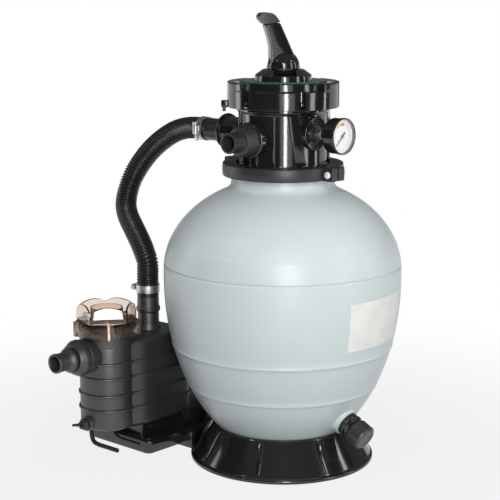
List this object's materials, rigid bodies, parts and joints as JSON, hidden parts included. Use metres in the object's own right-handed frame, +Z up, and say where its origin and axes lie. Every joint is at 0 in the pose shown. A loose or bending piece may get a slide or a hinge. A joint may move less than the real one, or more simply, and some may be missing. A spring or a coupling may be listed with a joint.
{
  "type": "sand filter set",
  "caption": "Pool sand filter: plastic tank on a flared base, multiport top valve with lever and gauge, ribbed hose and strainer pump on a platform.",
  "frame": {"origin": "middle of the footprint, hose left out, on the floor", "axes": "+Z up along the tank's axis; the gauge and the tank drain face +X, the pump stands at -X; the suction and the return port face -Y"},
  "size_m": [0.4842, 0.4466, 0.6678],
  "materials": {
    "tank_plastic": "satin, pale grey",
    "gloss_black": "glossy black",
    "satin_black": "satin black",
    "charcoal_plastic": "satin charcoal",
    "black_rubber": "matt black",
    "hose_plastic": "satin black, ribbed",
    "steel": "bright steel",
    "zinc": "zinc plated",
    "white_plastic": "white",
    "green_plate": "dark green, no lettering",
    "amber_lid": "clear amber-brown plastic",
    "gauge_glass": "clear",
    "dial_face": "white enamel",
    "steel_core": "laminated steel"
  },
  "bodies": {
    "filter": {"tank_shell": "tank_plastic", "tank_base": "gloss_black", "valve_body": "gloss_black", "valve_lid": "gloss_black", "pump_platform": "gloss_black", "gauge_case": "gloss_black", "drain_spigot": "satin_black", "clamp_half_front": "satin_black", "clamp_half_rear": "satin_black", "return_adapter": "satin_black", "waste_adapter": "satin_black", "pump_adapter": "satin_black", "motor_case": "satin_black", "fan_cover": "satin_black", "terminal_box": "satin_black", "cable_gland": "satin_black", "strainer_basket": "satin_black", "pump_housing": "charcoal_plastic", "suction_nut": "charcoal_plastic", "suction_adapter": "charcoal_plastic", "discharge_adapter": "charcoal_plastic", "seal_plate": "charcoal_plastic", "neck_seal": "black_rubber", "drain_seal": "black_rubber", "lid_seal": "black_rubber", "rotor_gasket": "black_rubber", "strainer_lid_seal": "black_rubber", "shaft_seal": "black_rubber", "drain_tube": "black_rubber", "filter_hose": "hose_plastic", "hose_clamp_valve": "steel", "hose_clamp_pump": "steel", "clamp_bolt_gauge_side": "zinc", "clamp_bolt_hose_side": "zinc", "clamp_nut_gauge_side": "zinc", "clamp_nut_hose_side": "zinc", "standpipe": "white_plastic", "lateral_hub": "white_plastic", "lateral_1": "white_plastic", "lateral_2": "white_plastic", "lateral_3": "white_plastic", "lateral_4": "white_plastic", "diffuser": "white_plastic", "position_plate": "green_plate", "gauge_lens": "gauge_glass", "gauge_dial": "dial_face", "motor_stator": "steel_core", "motor_end_shield": "steel_core"},
    "index": {"thrust_washer": "steel", "rotor_spring": "steel"},
    "rotor": {"valve_rotor": "satin_black", "handle_pin": "steel"},
    "handle": {"valve_handle": "gloss_black"},
    "needle": {"gauge_needle": "satin_black"},
    "pump_shaft": {"motor_shaft": "steel_core", "impeller": "white_plastic", "cooling_fan": "satin_black"},
    "strainer_cover": {"strainer_lid": "amber_lid"},
    "drain_cover": {"drain_cap": "charcoal_plastic"},
    "pot_plug": {"pot_drain_plug": "satin_black"}
  },
  "joints": [
    {"name": "valve_index", "type": "hinge", "parent": "filter", "child": "index", "pos_m": [0.05043, 0.04668, 0.58984], "axis": [0, 0, 1], "continuous": true},
    {"name": "rotor_lift", "type": "slide", "parent": "index", "child": "rotor", "axis": [0, 0, 1], "range_m": [0, 0.005], "stiffness_N_per_m": 200, "deforming": ["rotor_spring"]},
    {"name": "handle_tilt", "type": "hinge", "parent": "rotor", "child": "handle", "pos_m": [0.05043, 0.04668, 0.58984], "axis": [0.7071, -0.7071, 0], "range_deg": [0, 25]},
    {"name": "gauge_needle_turn", "type": "hinge", "parent": "filter", "child": "needle", "pos_m": [0.16473, 0.03968, 0.49734], "axis": [-1, 0, 0], "range_deg": [0, 270]},
    {"name": "pump_shaft_spin", "type": "hinge", "parent": "filter", "child": "pump_shaft", "pos_m": [-0.16007, 0.01668, 0.11], "axis": [0, 1, 0], "continuous": true},
    {"name": "strainer_lid_turn", "type": "hinge", "parent": "filter", "child": "strainer_cover", "pos_m": [-0.16007, -0.11732, 0.2], "axis": [0, 0, 1], "range_deg": [0, 120]},
    {"name": "drain_cap_turn", "type": "hinge", "parent": "filter", "child": "drain_cover", "pos_m": [0.17094, 0.04668, 0.0785], "axis": [0.891, 0, -0.454], "range_deg": [0, 360]},
    {"name": "pot_plug_turn", "type": "hinge", "parent": "filter", "child": "pot_plug", "pos_m": [-0.16007, -0.16482, 0.052], "axis": [0, -1, 0], "range_deg": [0, 180]}
  ],
  "couplings": [
    {"joint": "rotor_lift", "follows": "handle_tilt", "m_per_rad": 0.011459}
  ]
}
